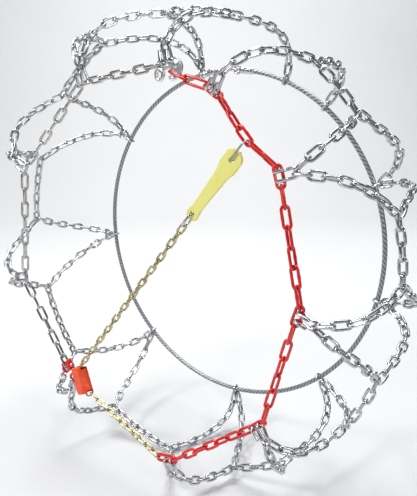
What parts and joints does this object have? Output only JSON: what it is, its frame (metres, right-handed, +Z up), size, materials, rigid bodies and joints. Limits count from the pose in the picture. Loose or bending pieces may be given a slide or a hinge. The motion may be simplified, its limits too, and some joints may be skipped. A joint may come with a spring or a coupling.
{
  "type": "tire snow chains",
  "caption": "Snow chain in its fitted shape: a diamond net of steel chain with side chains, hooks, inner cable, ratchet lock, tension chain and rubber strap.",
  "frame": {"origin": "centre of the wheel that the net is fitted to", "axes": "-Y out of the wheel's outer face, +Y towards the car, +Z up"},
  "size_m": [0.6843, 0.2429, 0.6839],
  "materials": {
    "galvanised_steel": "satin",
    "red_coated_steel": "gloss",
    "red_plastic": "satin",
    "dark_steel": "satin",
    "yellow_zinc_steel": "satin",
    "yellow_rubber": "matte",
    "cable_sheath": "satin"
  },
  "bodies": {
    "fitted_net": {"cross_hook_1": "galvanised_steel", "cross_hook_2": "galvanised_steel", "cross_hook_3": "galvanised_steel", "cross_hook_4": "galvanised_steel", "cross_hook_5": "galvanised_steel", "cross_hook_6": "galvanised_steel", "cross_hook_7": "galvanised_steel", "cross_hook_8": "galvanised_steel", "cross_hook_9": "galvanised_steel", "cross_hook_10": "galvanised_steel", "outer_cross_chain_1": "galvanised_steel", "outer_cross_chain_2": "galvanised_steel", "outer_cross_chain_3": "galvanised_steel", "outer_cross_chain_4": "galvanised_steel", "outer_cross_chain_5": "galvanised_steel", "outer_cross_chain_6": "galvanised_steel", "outer_cross_chain_7": "galvanised_steel", "outer_cross_chain_8": "galvanised_steel", "outer_cross_chain_9": "galvanised_steel", "outer_cross_chain_10": "galvanised_steel", "inner_cross_chain_1": "galvanised_steel", "inner_cross_chain_2": "galvanised_steel", "inner_cross_chain_3": "galvanised_steel", "inner_cross_chain_4": "galvanised_steel", "inner_cross_chain_5": "galvanised_steel", "inner_cross_chain_6": "galvanised_steel", "inner_cross_chain_7": "galvanised_steel", "inner_cross_chain_8": "galvanised_steel", "inner_cross_chain_9": "galvanised_steel", "inner_cross_chain_10": "galvanised_steel", "tread_chain_1": "galvanised_steel", "tread_chain_2": "galvanised_steel", "tread_chain_3": "galvanised_steel", "tread_chain_4": "galvanised_steel", "tread_chain_5": "galvanised_steel", "tread_chain_6": "galvanised_steel", "tread_chain_7": "galvanised_steel", "tread_chain_8": "galvanised_steel", "tread_chain_9": "galvanised_steel", "red_side_chain": "red_coated_steel", "silver_side_chain": "galvanised_steel", "red_end_link": "red_coated_steel", "closing_hook": "galvanised_steel", "lock_cover": "red_plastic", "lock_body": "red_coated_steel", "lock_roller_pin": "dark_steel", "lock_pawl_pin": "dark_steel", "lock_spring": "galvanised_steel", "tension_chain_lower": "yellow_zinc_steel", "inner_cable": "cable_sheath", "cable_eye": "galvanised_steel", "cable_hook": "galvanised_steel"},
    "tension_line": {"tension_chain_upper": "yellow_zinc_steel", "tension_link": "galvanised_steel"},
    "strap": {"tension_strap": "yellow_rubber"},
    "hook": {"strap_hook": "galvanised_steel"},
    "roller": {"lock_roller": "dark_steel"},
    "pawl": {"lock_pawl": "dark_steel"}
  },
  "joints": [
    {"name": "tension_swing", "type": "hinge", "parent": "fitted_net", "child": "tension_line", "pos_m": [-0.11527, -0.1115, -0.17163], "axis": [0.749, 0, -0.6626], "range_deg": [0, 30]},
    {"name": "strap_swing", "type": "hinge", "parent": "tension_line", "child": "strap", "pos_m": [0.10605, -0.1115, 0.07853], "axis": [0.749, 0, -0.6626], "range_deg": [0, 12]},
    {"name": "hook_swing", "type": "hinge", "parent": "strap", "child": "hook", "pos_m": [0.16502, -0.1115, 0.14518], "axis": [0.749, 0, -0.6626], "range_deg": [0, 12]},
    {"name": "roller_spin", "type": "hinge", "parent": "fitted_net", "child": "roller", "pos_m": [-0.1172, -0.1117, -0.20078], "axis": [0, -1, 0], "continuous": true},
    {"name": "pawl_pivot", "type": "hinge", "parent": "fitted_net", "child": "pawl", "pos_m": [-0.12646, -0.1099, -0.19234], "axis": [0, 1, 0], "range_deg": [0, 14], "stiffness_Nm_per_rad": 0.02}
  ]
}
